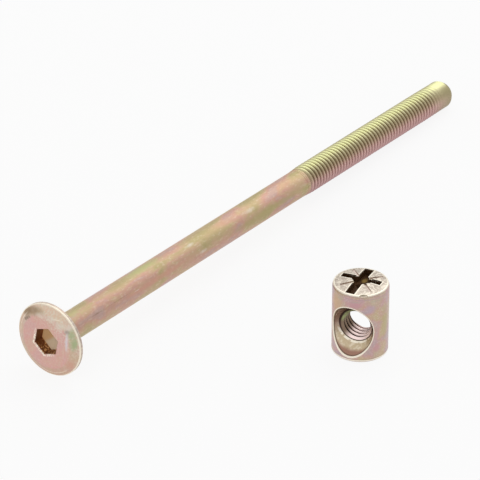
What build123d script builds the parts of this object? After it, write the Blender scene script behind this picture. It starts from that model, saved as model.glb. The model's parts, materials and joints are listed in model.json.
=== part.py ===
from build123d import *
from math import asin, atan2, cos, hypot, pi, radians, sin, tan
import os

# Furniture connector bolt with its barrel nut, in millimetres, +Z up.
# The bolt lies along +X on the rim of its head and on the end of its thread.
# The barrel nut stands on its plain end beside it.
# The origin is on the ground, under the centre of both pieces together.

# Thread that the two pieces share
thread_nominal = 6.0
thread_pitch = 1.0
thread_play = 0.05

# Bolt
head_diameter = 14.6
head_flat_diameter = 10.5
head_bevel_height = 1.07
head_rim_height = 0.78
rim_edge_radius = 0.15
neck_radius = 0.3
neck_length = 0.75
neck_taper_length = 0.8
length_under_head = 130.0
thread_length = 50.0
shank_diameter = 5.6
thread_start_slope = 3.0
tip_chamfer_length = 1.2
tip_chamfer_depth = 0.75

# Hexagon socket in the bolt's head
hex_across_flats = 5.0
hex_turn = 19.5
socket_wall = 0.3
drill_point_inset = 0.1
drill_point_angle = 120.0
drill_point_flat = 0.2

# Barrel nut
nut_diameter = 10.65
nut_height = 14.65
nut_crown = 0.25
nut_top_bevel_height = 0.6
nut_top_bevel_depth = 0.22
nut_foot_radius = 0.45
nut_bore_height = 6.25
nut_thread_play = 0.2
mouth_diameter = 10.55
mouth_floor_diameter = 6.8
mouth_angle = 62.0
lead_in_angle = 120.0

# Cross recess in the nut's top: a wide slot along the bore, a narrow one across it, a pointed
# pit between them and a tick mark between each two arms. The narrow slot, the pit and the tick
# marks are punched a little off the middle.
wide_slot_width = 1.85
wide_slot_length = 9.5
cross_slot_width = 1.45
cross_slot_length = 7.9
cross_slot_offset = 0.85
slot_aside = 0.25
slot_depth = 1.5
slot_corner_radius = 0.35
pit_width = 3.1
pit_floor_width = 0.8
pit_depth = 2.8
pit_offset = 0.35
tick_count = 4
tick_width = 0.5
tick_start = 1.5
tick_end = 4.3
tick_depth = 0.3

# Where the nut stands, from the lowest point of the bolt's head
nut_ahead = 40.9
nut_aside = 41.0
nut_turn = 11.5

# Sizes that follow from the ones above
thread_diameter = thread_nominal - thread_play
nut_bore_diameter = thread_nominal - thread_pitch + nut_thread_play
head_height = head_bevel_height + head_rim_height
# The socket reaches below the head, so the neck is thick and long enough to leave a wall round it.
hex_across_corners = hex_across_flats / cos(pi / 6)
neck_diameter = hex_across_corners + 2 * socket_wall
neck_end = head_height + neck_length
hex_depth = neck_end - socket_wall
bolt_length = head_height + length_under_head
thread_start = bolt_length - thread_length
thread_end = bolt_length - tip_chamfer_length
tip_radius = thread_diameter / 2 - tip_chamfer_depth

# The bolt tilts until the ground touches the rear edge of its rim and the end of its thread.
rest_run = thread_end - (head_height - rim_edge_radius)
rest_drop = head_diameter / 2 - rim_edge_radius - thread_diameter / 2
bolt_tilt = atan2(rest_drop, rest_run) + asin(rim_edge_radius / hypot(rest_run, rest_drop))

# Centre of the head's face, so that both pieces together are centred on the origin
reach_behind = head_flat_diameter / 2 * sin(bolt_tilt)
reach_ahead = bolt_length * cos(bolt_tilt) + tip_radius * sin(bolt_tilt)
bolt_aside = (nut_aside + nut_diameter / 2 - head_diameter / 2) / 2
face_x = (reach_behind - reach_ahead) / 2
face_z = thread_end * sin(bolt_tilt) + thread_diameter / 2 * cos(bolt_tilt)

# Lowest point of the head, from which the nut's place is measured
rim_x = (
    face_x
    + (head_height - rim_edge_radius) * cos(bolt_tilt)
    - (head_diameter / 2 - rim_edge_radius) * sin(bolt_tilt)
)
nut_x = rim_x + nut_ahead
nut_y = bolt_aside - nut_aside

face_centre = Vector(face_x, bolt_aside, face_z)
bolt_direction = Vector(cos(bolt_tilt), 0, -sin(bolt_tilt))
bolt_axis = Axis(face_centre, bolt_direction)

# Half section of the bolt: local X runs to the tip, local Y away from the axis
bolt_section_plane = Plane(face_centre, x_dir=bolt_direction, z_dir=(0, -1, 0))
# The head's face, seen from the front with local Y up
head_face = Plane(face_centre, x_dir=(0, -1, 0), z_dir=-bolt_direction)

with BuildPart() as bolt:
    with BuildSketch(bolt_section_plane) as bolt_section:
        with BuildLine():
            Polyline(
                (0, 0),
                (0, head_flat_diameter / 2),
                (head_bevel_height, head_diameter / 2),
                (head_height, head_diameter / 2),
                (head_height, neck_diameter / 2),
                (neck_end, neck_diameter / 2),
                (neck_end + neck_taper_length, shank_diameter / 2),
                (thread_start - thread_start_slope, shank_diameter / 2),
                (thread_start, thread_diameter / 2),
                (thread_end, thread_diameter / 2),
                (bolt_length, tip_radius),
                (bolt_length, 0),
                close=True,
            )
        make_face()
        rim_corners = bolt_section.vertices().group_by(Axis.Y)[-1]
        fillet(rim_corners, radius=rim_edge_radius)
        neck_corner = bolt_section.vertices().sort_by_distance((head_height, neck_diameter / 2))[0]
        fillet(neck_corner, radius=neck_radius)
    revolve(axis=bolt_axis)

    # The hexagon is punched round a drilled hole, so a cone lies below its floor.
    with BuildSketch(head_face):
        RegularPolygon(hex_across_flats / 2, 6, major_radius=False, rotation=hex_turn)
    extrude(amount=-hex_depth, mode=Mode.SUBTRACT)
    drill_point_radius = hex_across_flats / 2 - drill_point_inset
    drill_point_depth = (drill_point_radius - drill_point_flat / 2) / tan(radians(drill_point_angle / 2))
    with BuildSketch(head_face.offset(-hex_depth)):
        Circle(drill_point_radius)
    extrude(amount=-drill_point_depth, taper=drill_point_angle / 2, mode=Mode.SUBTRACT)
bolt.part.label = "bolt"

# The nut stands upright, its bore level and turned towards the head of the bolt.
nut_base = Plane((nut_x, nut_y, 0), x_dir=Vector(1, 0, 0).rotate(Axis.Z, nut_turn), z_dir=(0, 0, 1))
nut_top = nut_base.offset(nut_height)
# Half section of the nut: local X runs out from its axis, local Y up
nut_section_plane = Plane(nut_base.origin, x_dir=nut_base.x_dir, z_dir=-nut_base.y_dir)
bore_direction = nut_base.x_dir
bore_centre = nut_base.origin + Vector(0, 0, nut_bore_height)
bore_plane = Plane(bore_centre, x_dir=(0, 0, 1), z_dir=bore_direction)

# The mouth's cone is measured where it leaves the barrel's side, above and below the bore.
# A blunter cone leads from its floor into the thread.
mouth_depth = (mouth_diameter - mouth_floor_diameter) / 2 / tan(radians(mouth_angle / 2))
mouth_floor = nut_diameter / 2 - mouth_depth
lead_in_depth = (mouth_floor_diameter - nut_bore_diameter) / 2 / tan(radians(lead_in_angle / 2))

nut_edge = (nut_diameter / 2 - nut_top_bevel_depth, nut_height - nut_crown)

with BuildPart() as barrel_nut:
    with BuildSketch(nut_section_plane) as nut_section:
        with BuildLine():
            TangentArc((0, nut_height), nut_edge, tangent=(1, 0))
            Polyline(
                nut_edge,
                (nut_diameter / 2, nut_height - nut_crown - nut_top_bevel_height),
                (nut_diameter / 2, 0),
                (0, 0),
                (0, nut_height),
            )
        make_face()
        foot_corner = nut_section.vertices().group_by(Axis.Y)[0].sort_by(Axis.X)[-1]
        fillet(foot_corner, radius=nut_foot_radius)
    revolve(axis=Axis(nut_base.origin, nut_base.z_dir))

    with BuildSketch(bore_plane):
        Circle(nut_bore_diameter / 2)
    extrude(amount=nut_diameter, both=True, mode=Mode.SUBTRACT)
    for side in (1, -1):
        side_plane = Plane(bore_centre, x_dir=(0, 0, 1), z_dir=bore_direction * side)
        floor_plane = side_plane.offset(mouth_floor)
        with BuildSketch(floor_plane):
            Circle(mouth_floor_diameter / 2)
        extrude(amount=mouth_depth * 2, taper=-mouth_angle / 2, mode=Mode.SUBTRACT)
        with BuildSketch(floor_plane):
            Circle(mouth_floor_diameter / 2)
        extrude(amount=-lead_in_depth, taper=lead_in_angle / 2, mode=Mode.SUBTRACT)

    with BuildSketch(nut_top):
        with Locations((pit_offset, 0)):
            with PolarLocations((tick_start + tick_end) / 2, tick_count, start_angle=180 / tick_count):
                Rectangle(tick_end - tick_start, tick_width)
    extrude(amount=-tick_depth, mode=Mode.SUBTRACT)
    with BuildSketch(nut_top) as slots:
        with Locations((0, slot_aside)):
            Rectangle(wide_slot_length, wide_slot_width)
        with Locations((cross_slot_offset, slot_aside)):
            Rectangle(cross_slot_width, cross_slot_length)
        inner_corners = slots.vertices().sort_by_distance((cross_slot_offset, slot_aside))[:4]
        fillet(inner_corners, radius=slot_corner_radius)
    extrude(amount=-slot_depth, mode=Mode.SUBTRACT)
    with BuildSketch(nut_top):
        with Locations((pit_offset, 0)):
            Rectangle(pit_width, pit_width, rotation=45)
    with BuildSketch(nut_top.offset(-pit_depth)):
        with Locations((pit_offset, 0)):
            Rectangle(pit_floor_width, pit_floor_width, rotation=45)
    loft(mode=Mode.SUBTRACT)
barrel_nut.part.label = "barrel_nut"

os.makedirs("parts", exist_ok=True)
for piece in (bolt, barrel_nut):
    export_step(piece.part, f"parts/{piece.part.label}.step")
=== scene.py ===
"""Furniture connector bolt and its barrel nut: rolled threads, plated finish, studio and camera.

Every piece is modelled in millimetres in a frame of its own, then set in place in metres.
The bolt is turned upright, as on a lathe: its head's face at height 0 and its tip at the top.
Its finish is laid out along it: +X from the head's face to the tip, +Y aside and +Z up.
The nut's own frame has its origin under its axis, +X along the bore and +Z up.
"""

import json
import logging
import math
from collections.abc import Callable, Iterable
from dataclasses import dataclass
from enum import Enum

import bpy
from mathutils import Matrix, Vector

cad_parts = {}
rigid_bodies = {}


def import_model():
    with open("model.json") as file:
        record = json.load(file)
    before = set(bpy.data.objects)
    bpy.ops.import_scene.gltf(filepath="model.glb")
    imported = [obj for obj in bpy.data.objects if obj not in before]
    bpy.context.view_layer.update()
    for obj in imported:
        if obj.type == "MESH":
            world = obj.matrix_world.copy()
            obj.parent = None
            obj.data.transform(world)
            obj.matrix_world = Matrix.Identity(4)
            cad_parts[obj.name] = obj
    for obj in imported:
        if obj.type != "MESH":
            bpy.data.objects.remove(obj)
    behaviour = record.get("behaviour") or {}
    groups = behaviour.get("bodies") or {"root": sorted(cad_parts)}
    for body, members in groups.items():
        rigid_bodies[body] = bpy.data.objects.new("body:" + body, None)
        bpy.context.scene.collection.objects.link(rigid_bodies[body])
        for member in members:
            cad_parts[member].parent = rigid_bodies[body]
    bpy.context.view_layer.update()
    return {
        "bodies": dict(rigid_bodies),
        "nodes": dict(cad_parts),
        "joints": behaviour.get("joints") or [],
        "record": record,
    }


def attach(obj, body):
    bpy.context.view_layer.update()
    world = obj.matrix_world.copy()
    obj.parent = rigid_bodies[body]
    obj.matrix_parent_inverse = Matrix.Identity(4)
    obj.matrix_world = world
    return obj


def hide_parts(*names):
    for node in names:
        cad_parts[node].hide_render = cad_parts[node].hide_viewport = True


LOG = logging.getLogger("furniture_bolt")
MILLIMETRE = 0.001
FULL_TURN = 2 * math.pi
QUARTER = math.radians(90)
SHARP_ANGLE = math.radians(32)
WELD = 1e-4
TOUCH = 0.01

Point = tuple[float, float, float]
Colour = tuple[float, float, float]
Stops = list[tuple[float, Colour]]
Socket = bpy.types.NodeSocket
Piece = bpy.types.Object
Value = float | Socket
Direction = Point | Socket

# Colours shared by both pieces
WHITE = (1.0, 1.0, 1.0)
# Cream of the painted highlights on edges, rims, burrs and a ring on the bolt's bevel
CREAM_HIGHLIGHT = (0.95, 0.88, 0.74)
# Pale frost mottle of the painted highlights on the bolt's bevel and the nut's top
FROST_HIGHLIGHT = (0.76, 0.69, 0.58)
PALE = (0.80, 0.74, 0.68)
TAN = (0.60, 0.40, 0.25)
OLIVE_YELLOW = (0.46, 0.40, 0.19)
# Dark marks on the bolt's head, a dark line low on the nut's side, and painted shade just inside the nut's
# mouths
DARK_MARK_AND_SHADE = (0.14, 0.09, 0.06)
FILM_MOTTLE = (0.86, 0.84, 0.82)
FILM = [
    (0.0, (0.50, 0.42, 0.22)),
    (0.28, (0.58, 0.44, 0.27)),
    (0.5, (0.61, 0.42, 0.29)),
    (0.72, (0.62, 0.38, 0.30)),
    (1.0, (0.56, 0.40, 0.36)),
]

# Colours of the bolt, those in lists from its lower side to its upper side
# Olive of a painted reflection on the upper left of the bolt's bevel
OLIVE_REFLECTION = (0.32, 0.22, 0.13)
BROWN = (0.32, 0.20, 0.12)
GREEN = (0.40, 0.47, 0.26)
YELLOW_GREEN = (0.53, 0.52, 0.25)
SALMON = (0.66, 0.37, 0.28)
VIOLET = (0.26, 0.20, 0.20)
LAVENDER = (0.74, 0.68, 0.70)
SPECKLE = (0.72, 0.62, 0.47)
HEAD_FLAT = (0.76, 0.44, 0.41)
HEAD_RIM = (0.54, 0.48, 0.42)
# Painted light in the hexagon socket: gold for the lit floor and the glints, a cream painted highlight, and
# brown painted shade on the walls
SOCKET_GOLD = (0.95, 0.64, 0.33)
SOCKET_HIGHLIGHT_CREAM = (1.0, 0.84, 0.62)
SOCKET_SHADE_BROWN = (0.26, 0.12, 0.06)
END_OLIVE = (0.37, 0.33, 0.18)
# The bevel's colours, lighter towards the top as painted light
HEAD_BEVEL_LIGHT = [
    (0.0, (0.66, 0.44, 0.33)),
    (0.4, (0.66, 0.48, 0.38)),
    (1.0, (0.84, 0.66, 0.50)),
]
# The crests' colours: painted shade on the lower side and a painted highlight on top
THREAD_CREST_LIGHT = [
    (0.0, (0.34, 0.19, 0.21)),
    (0.2, (0.52, 0.32, 0.32)),
    (0.55, (0.66, 0.44, 0.40)),
    (0.66, (0.60, 0.44, 0.34)),
    (0.76, (0.48, 0.38, 0.25)),
    (0.86, (0.48, 0.42, 0.26)),
    (0.93, (0.64, 0.60, 0.37)),
    (1.0, (0.95, 0.97, 0.52)),
]
# The grooves' colours: darker than the crests as painted shade, lighter on top as painted light
THREAD_ROOT_SHADE = [
    (0.0, (0.32, 0.18, 0.20)),
    (0.5, (0.46, 0.29, 0.27)),
    (0.7, (0.32, 0.24, 0.15)),
    (0.9, (0.32, 0.27, 0.16)),
    (1.0, (0.58, 0.56, 0.32)),
]

# Colours of the nut
MAGENTA = (0.56, 0.31, 0.33)
LILAC = (0.50, 0.38, 0.42)
BAND_GREEN = (0.45, 0.42, 0.35)
BAND_MAUVE = (0.46, 0.34, 0.36)
NUT_TOP = (0.42, 0.36, 0.30)
TICK_ROSE = (0.58, 0.46, 0.41)
NICK_OLIVE = (0.18, 0.17, 0.09)
# Painted shade in dark brown in the slots, and a painted lit spot in olive in the wide slot
SLOT_SHADE_BROWN = (0.068, 0.030, 0.010)
SLOT_LIT_OLIVE = (0.30, 0.19, 0.05)
# In the mouths: gold and sand where lit, reddish at the bottom edge, brown painted shade at the top and rose
# painted reflections
MOUTH_GOLD = (0.56, 0.45, 0.30)
MOUTH_SAND = (0.70, 0.60, 0.45)
MOUTH_RED = (0.34, 0.19, 0.14)
MOUTH_ROSE_REFLECTION = (0.74, 0.57, 0.50)
MOUTH_SHADE_BROWN = (0.34, 0.23, 0.18)
# In the bore: rosy painted highlights on lit ridges, brown and green on the others, and painted shade in the
# grooves
BORE_CREST_HIGHLIGHT = (1.0, 0.80, 0.76)
BORE_GREEN = (0.36, 0.40, 0.20)
BORE_BROWN = (0.24, 0.17, 0.12)
BORE_ROOT_SHADE = (0.055, 0.032, 0.027)
NUT_SIDE = [
    (0.0, (0.52, 0.44, 0.28)),
    (0.35, (0.52, 0.37, 0.28)),
    (0.6, (0.55, 0.33, 0.34)),
    (1.0, (0.44, 0.36, 0.40)),
]


@dataclass(frozen=True)
class Patch:
    """One stain, scuff or spot on a piece, in millimetres in the piece's own frame."""

    centre: Point
    half_size: Point
    colour: Colour
    strength: float = 0.8
    ragged: float = 0.5


# On the bolt's head
HEAD_PATCHES = (
    # Painted reflection in olive on the upper left of the bevel
    Patch((0.6, 5.2, 4.5), (1.6, 2.0, 1.3), OLIVE_REFLECTION, 0.8, 0.35),
    Patch((0.5, 3.7, 5.2), (1.5, 2.3, 1.1), OLIVE_REFLECTION, 0.65, 0.35),
    Patch((0.5, 2.1, 5.7), (1.4, 1.9, 0.8), OLIVE_REFLECTION, 0.45, 0.35),
    Patch((0.1, 5.1, 3.05), (0.8, 0.6, 0.4), DARK_MARK_AND_SHADE, 0.6, 0.2),
    Patch((0.1, 4.6, 3.45), (0.8, 0.6, 0.32), DARK_MARK_AND_SHADE, 0.55, 0.2),
    Patch((0.1, 4.1, 3.8), (0.8, 0.55, 0.24), DARK_MARK_AND_SHADE, 0.4, 0.2),
    # Painted highlights in frost on the upper right of the bevel
    Patch((0.2, 1.4, 5.0), (1.0, 1.5, 0.7), FROST_HIGHLIGHT, 0.5, 0.4),
    Patch((0.2, -1.0, 5.0), (1.0, 1.8, 0.9), FROST_HIGHLIGHT, 0.6, 0.4),
    Patch((0.2, -3.1, 4.2), (1.0, 1.5, 1.2), FROST_HIGHLIGHT, 0.6, 0.4),
    Patch((0.6, -5.0, 4.2), (1.2, 1.1, 0.9), PALE, 0.5, 0.4),
    Patch((0.6, -5.6, 3.2), (1.5, 1.3, 1.7), GREEN, 0.75, 0.65),
    Patch((0.6, -6.1, 1.4), (1.5, 1.2, 2.3), GREEN, 0.9, 0.65),
    Patch((0.3, -4.6, 3.6), (1.0, 1.0, 0.9), VIOLET, 0.55, 1.0),
    Patch((0.2, -4.8, 1.3), (0.8, 0.45, 2.7), LAVENDER, 0.9, 0.5),
    # A thin painted highlight in cream along the upper right of the rim
    Patch((0.2, -2.4, 5.3), (0.8, 1.7, 0.22), CREAM_HIGHLIGHT, 0.6, 0.8),
    Patch((0.6, -5.3, -3.4), (1.5, 1.5, 2.2), SALMON, 0.6, 0.7),
)

# On the bolt's shank, in the order in which they are laid on
SHANK_PATCHES = (
    Patch((7.5, -0.5, 2.8), (5.0, 2.0, 1.4), YELLOW_GREEN, 0.65, 0.9),
    Patch((12.0, -2.4, 1.4), (5.0, 1.0, 0.3), BROWN, 0.6, 1.2),
    Patch((29.0, 0.2, 2.8), (8.0, 1.6, 1.1), YELLOW_GREEN, 0.9),
    Patch((30.0, -2.6, 0.9), (14.0, 1.0, 0.8), SALMON, 0.7),
    Patch((19.0, -2.5, 1.4), (8.0, 1.0, 0.12), BROWN, 0.6, 1.2),
    Patch((24.0, -2.6, 1.1), (1.2, 0.6, 0.12), PALE, 0.8, 0.8),
    Patch((42.3, -1.2, 2.5), (2.0, 0.7, 0.6), PALE, 0.5, 0.8),
    Patch((44.5, -2.7, 0.7), (2.0, 0.5, 0.5), PALE, 0.5, 0.8),
    Patch((53.0, -1.0, 2.6), (9.0, 1.4, 1.2), TAN, 0.5, 0.8),
    Patch((73.0, -1.0, 2.6), (8.0, 1.4, 1.2), TAN, 0.45, 0.8),
    Patch((61.0, -1.6, 2.3), (2.5, 0.8, 0.7), PALE, 0.4, 0.8),
    Patch((66.0, -2.7, 0.6), (16.0, 1.2, 1.0), OLIVE_YELLOW, 0.7),
)

# On the nut's side
NUT_PATCHES = (
    Patch((-4.3, 3.1, 11.5), (2.0, 2.0, 3.0), TAN, 0.8),
    Patch((-5.1, -1.2, 12.4), (1.5, 2.4, 1.0), MAGENTA, 0.75),
    Patch((-3.8, -3.8, 11.4), (1.5, 1.5, 1.2), LILAC, 0.8),
    Patch((-2.7, -4.6, 2.7), (1.2, 1.2, 1.2), MAGENTA, 0.7),
    Patch((-0.8, -5.2, 7.5), (1.6, 1.5, 5.0), OLIVE_YELLOW, 0.6),
)

# On the nut's top: a painted highlight round the nick in its rim, olive in the nick, and a painted lit spot
# in the wide slot
NUT_MARKS = (
    Patch((-4.45, -2.5, 14.3), (1.0, 1.2, 0.5), CREAM_HIGHLIGHT, 0.9, 0.4),
    Patch((-4.45, -2.5, 14.25), (0.62, 0.85, 0.36), NICK_OLIVE, 0.95, 0.3),
    Patch((2.5, 0.3, 13.15), (1.0, 0.65, 0.5), SLOT_LIT_OLIVE, 0.95, 0.3),
)


class Solver(Enum):
    """How two meshes are combined."""

    CUT = "DIFFERENCE"
    JOIN = "UNION"
    KEEP = "INTERSECT"


@dataclass(frozen=True)
class Corner:
    """One corner of a turned outline: its height, its radius and how far it is rounded."""

    height: float
    radius: float
    rounding: float = 0.0


@dataclass(frozen=True)
class Outline:
    """The outline of a turned body, from corner to corner."""

    corners: tuple[Corner, ...]
    arc_steps: int = 5

    def points(self) -> list[tuple[float, float]]:
        """Heights and radii along the outline, with an arc at each rounded corner."""
        found = []
        for index, corner in enumerate(self.corners):
            here = Vector((corner.height, corner.radius))
            if not corner.rounding:
                found.append(tuple(here))
                continue
            before, after = self.corners[index - 1], self.corners[index + 1]
            back = (Vector((before.height, before.radius)) - here).normalized()
            ahead = (Vector((after.height, after.radius)) - here).normalized()
            half = back.angle(ahead) / 2
            reach = corner.rounding / math.tan(half)
            centre = here + (back + ahead).normalized() * corner.rounding / math.sin(half)
            start, end = here + back * reach - centre, here + ahead * reach - centre
            for step in range(self.arc_steps + 1):
                spoke = start.slerp(end, step / self.arc_steps).normalized()
                found.append(tuple(centre + spoke * corner.rounding))
        return found


@dataclass(frozen=True)
class Thread:
    """The metric thread that the bolt and the nut share, in millimetres."""

    pitch: float = 1.0
    depth: float = 0.61
    flank: float = 1.3
    section_steps: int = 14

    def section(self, crest: float) -> list[Point]:
        """One pitch of the rounded thread, from crest to crest.

        Args:
            crest: Radius of the crests.

        Returns:
            Points with X away from the axis and Z along it.
        """
        points = []
        for step in range(self.section_steps + 1):
            share = step / self.section_steps
            swing = 2 * abs(2 * share - 1) - 1
            rise = math.sin(math.pi / 2 * max(-1.0, min(1.0, self.flank * swing)))
            points.append((crest - self.depth / 2 * (1 - rise), 0.0, self.pitch * share))
        return points


class Bench:
    """The modelling steps that both pieces share."""

    @staticmethod
    def pick(piece: Piece) -> None:
        """Selects one object alone and makes it active."""
        if bpy.context.object and bpy.context.object.mode != "OBJECT":
            bpy.ops.object.mode_set(mode="OBJECT")
        bpy.ops.object.select_all(action="DESELECT")
        piece.select_set(True)
        bpy.context.view_layer.objects.active = piece

    @staticmethod
    def fresh(name: str) -> Piece:
        """Names the object just added and applies its place, turn and size to its mesh."""
        piece = bpy.context.object
        piece.name = name
        bpy.ops.object.transform_apply(location=True, rotation=True, scale=True)
        return piece

    @staticmethod
    def draw_chain(name: str, corners: list[Point]) -> Piece:
        """Draws straight edges from corner to corner by extruding one vertex."""
        bpy.ops.mesh.primitive_plane_add(size=1)
        piece = Bench.fresh(name)
        bpy.ops.object.mode_set(mode="EDIT")
        bpy.ops.mesh.select_mode(type="VERT")
        bpy.ops.mesh.select_all(action="SELECT")
        bpy.ops.mesh.merge(type="CENTER")
        bpy.ops.mesh.select_all(action="SELECT")
        bpy.ops.transform.translate(value=corners[0])
        for start, end in zip(corners, corners[1:]):
            step = tuple(b - a for a, b in zip(start, end))
            bpy.ops.mesh.extrude_region_move(TRANSFORM_OT_translate={"value": step})
        bpy.ops.object.mode_set(mode="OBJECT")
        return piece

    @staticmethod
    def select(piece: Piece, kind: str, test: Callable) -> int:
        """Selects the vertices or edges that pass a test, and enters edit mode.

        Args:
            piece: The object to select in.
            kind: VERT or EDGE.
            test: Called with each vertex or edge of the mesh.

        Returns:
            How many were selected.
        """
        Bench.pick(piece)
        bpy.ops.object.mode_set(mode="EDIT")
        bpy.ops.mesh.select_mode(type=kind)
        bpy.ops.mesh.select_all(action="DESELECT")
        bpy.ops.object.mode_set(mode="OBJECT")
        items = {"VERT": piece.data.vertices, "EDGE": piece.data.edges}[kind]
        passed = [item for item in items if test(item)]
        for item in passed:
            item.select = True
        bpy.ops.object.mode_set(mode="EDIT")
        return len(passed)

    @staticmethod
    def ends_in(flags: list[bool]) -> Callable:
        """A test for the edges whose vertices are all flagged."""
        return lambda edge: all(flags[vertex] for vertex in edge.vertices)

    @staticmethod
    def clean(piece: Piece) -> None:
        """Welds a mesh and turns its faces outwards."""
        Bench.pick(piece)
        bpy.ops.object.mode_set(mode="EDIT")
        bpy.ops.mesh.select_all(action="SELECT")
        bpy.ops.mesh.remove_doubles(threshold=WELD)
        bpy.ops.mesh.normals_make_consistent(inside=False)
        bpy.ops.object.mode_set(mode="OBJECT")

    @staticmethod
    def turn_body(name: str, outline: Outline, steps: int) -> Piece:
        """Turns an outline that starts and ends on the axis into a closed round body.

        Args:
            name: Name of the new object.
            outline: The outline.
            steps: How many facets go round the body.

        Returns:
            The new object, upright on the Z axis.
        """
        piece = Bench.draw_chain(name, [(radius, 0, height) for height, radius in outline.points()])
        Bench.select(piece, "VERT", lambda vertex: True)
        bpy.ops.mesh.spin(steps=steps, angle=FULL_TURN, center=(0, 0, 0), axis=(0, 0, 1))
        Bench.clean(piece)
        return piece

    @staticmethod
    def wind_rod(name: str, thread: Thread, crest: float, turns: int, steps: int) -> Piece:
        """Winds one pitch of a thread round the Z axis into an open threaded rod.

        Args:
            name: Name of the new object.
            thread: The thread.
            crest: Radius of its crests.
            turns: How many turns it has.
            steps: How many facets go round it.

        Returns:
            The new object, which starts at height 0.
        """
        piece = Bench.draw_chain(name, thread.section(crest))
        Bench.pick(piece)
        winding = piece.modifiers.new("winding", "SCREW")
        winding.axis = "Z"
        winding.angle = FULL_TURN
        winding.screw_offset = thread.pitch
        winding.steps = steps
        winding.render_steps = steps
        winding.iterations = turns
        winding.use_merge_vertices = False
        bpy.ops.object.modifier_apply(modifier=winding.name)
        Bench.clean(piece)
        return piece

    @staticmethod
    def fade_round(piece: Piece, radius: float, share_at: Callable[[float], float]) -> None:
        """Fades the ridges of a rod into a plain round surface.

        Args:
            piece: The rod, on the Z axis.
            radius: Radius of the plain surface.
            share_at: Gives for each height how far the ridges are faded; 1 and above is plain.
        """
        fading = piece.vertex_groups.new(name="fading")
        for vertex in piece.data.vertices:
            share = share_at(vertex.co.z)
            if share > 0:
                fading.add([vertex.index], min(1.0, share), "REPLACE")
        fade = piece.modifiers.new("fade", "CAST")
        fade.cast_type = "CYLINDER"
        fade.use_z = False
        fade.factor = 1.0
        fade.use_radius_as_size = False
        fade.size = radius
        fade.vertex_group = fading.name
        Bench.pick(piece)
        bpy.ops.object.modifier_apply(modifier=fade.name)
        piece.vertex_groups.clear()

    @staticmethod
    def slice_off(piece: Piece, height: float, below: bool, fill: bool) -> None:
        """Cuts a mesh off at a height.

        Args:
            piece: The mesh.
            height: Where it is cut.
            below: Whether what lies below the cut goes, and not what lies above.
            fill: Whether the cut is closed by a flat face.
        """
        Bench.select(piece, "VERT", lambda vertex: True)
        bpy.ops.mesh.bisect(
            plane_co=(0, 0, height),
            plane_no=(0, 0, 1),
            use_fill=fill,
            clear_inner=below,
            clear_outer=not below,
        )
        bpy.ops.object.mode_set(mode="OBJECT")

    @staticmethod
    def draw_out(piece: Piece, height: float, outline: Outline) -> None:
        """Extrudes the open ring at a height along an outline and closes it with a flat face."""
        points = outline.points()
        at_ring = [abs(vertex.co.z - height) < WELD for vertex in piece.data.vertices]
        Bench.select(piece, "EDGE", Bench.ends_in(at_ring))
        for (start, old), (end, new) in zip(points, points[1:]):
            bpy.ops.mesh.extrude_region_move(TRANSFORM_OT_translate={"value": (0, 0, end - start)})
            bpy.ops.transform.resize(value=(new / old, new / old, 1), center_override=(0, 0, end))
        bpy.ops.mesh.edge_face_add()
        bpy.ops.object.mode_set(mode="OBJECT")

    @staticmethod
    def move(piece: Piece, place: Matrix) -> None:
        """Moves, turns and scales a mesh and leaves its object at the origin."""
        Bench.pick(piece)
        piece.matrix_world = place @ piece.matrix_world
        bpy.ops.object.transform_apply(location=True, rotation=True, scale=True)

    @staticmethod
    def combine(piece: Piece, tool: Piece, how: Solver) -> None:
        """Combines one mesh with another and removes the tool."""
        Bench.pick(piece)
        cut = piece.modifiers.new("cut", "BOOLEAN")
        cut.operation = how.value
        cut.object = tool
        cut.solver = "MANIFOLD"
        bpy.ops.object.modifier_apply(modifier=cut.name)
        bpy.data.objects.remove(tool)

    @staticmethod
    def prism(name: str, sides: int, radii: tuple[float, float], heights: tuple[float, float]) -> Piece:
        """Makes a closed upright prism or cone.

        Args:
            name: Name of the new object.
            sides: How many sides it has.
            radii: Radius of its corners at the bottom and at the top.
            heights: Height of its bottom and of its top.

        Returns:
            The new object.
        """
        bpy.ops.mesh.primitive_cone_add(
            vertices=sides,
            radius1=radii[0],
            radius2=radii[1],
            depth=heights[1] - heights[0],
            location=(0, 0, sum(heights) / 2),
        )
        return Bench.fresh(name)

    @staticmethod
    def block(name: str, size: Point, centre: Point, turn: float = 0.0) -> Piece:
        """Makes a box of a given size, turned about the vertical, as a tool for cutting."""
        bpy.ops.mesh.primitive_cube_add(size=1, location=centre, rotation=(0, 0, turn), scale=size)
        return Bench.fresh(name)

    @staticmethod
    def bevel(piece: Piece, test: Callable, width: float, segments: int) -> int:
        """Bevels the edges that pass a test and returns how many they are."""
        found = Bench.select(piece, "EDGE", test)
        if found:
            bpy.ops.mesh.bevel(offset=width, offset_type="OFFSET", segments=segments, affect="EDGES")
        bpy.ops.object.mode_set(mode="OBJECT")
        return found

    @staticmethod
    def smooth(piece: Piece) -> None:
        """Shades a piece smooth and keeps its sharp edges sharp."""
        Bench.pick(piece)
        bpy.ops.object.shade_smooth_by_angle(angle=SHARP_ANGLE)


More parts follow.
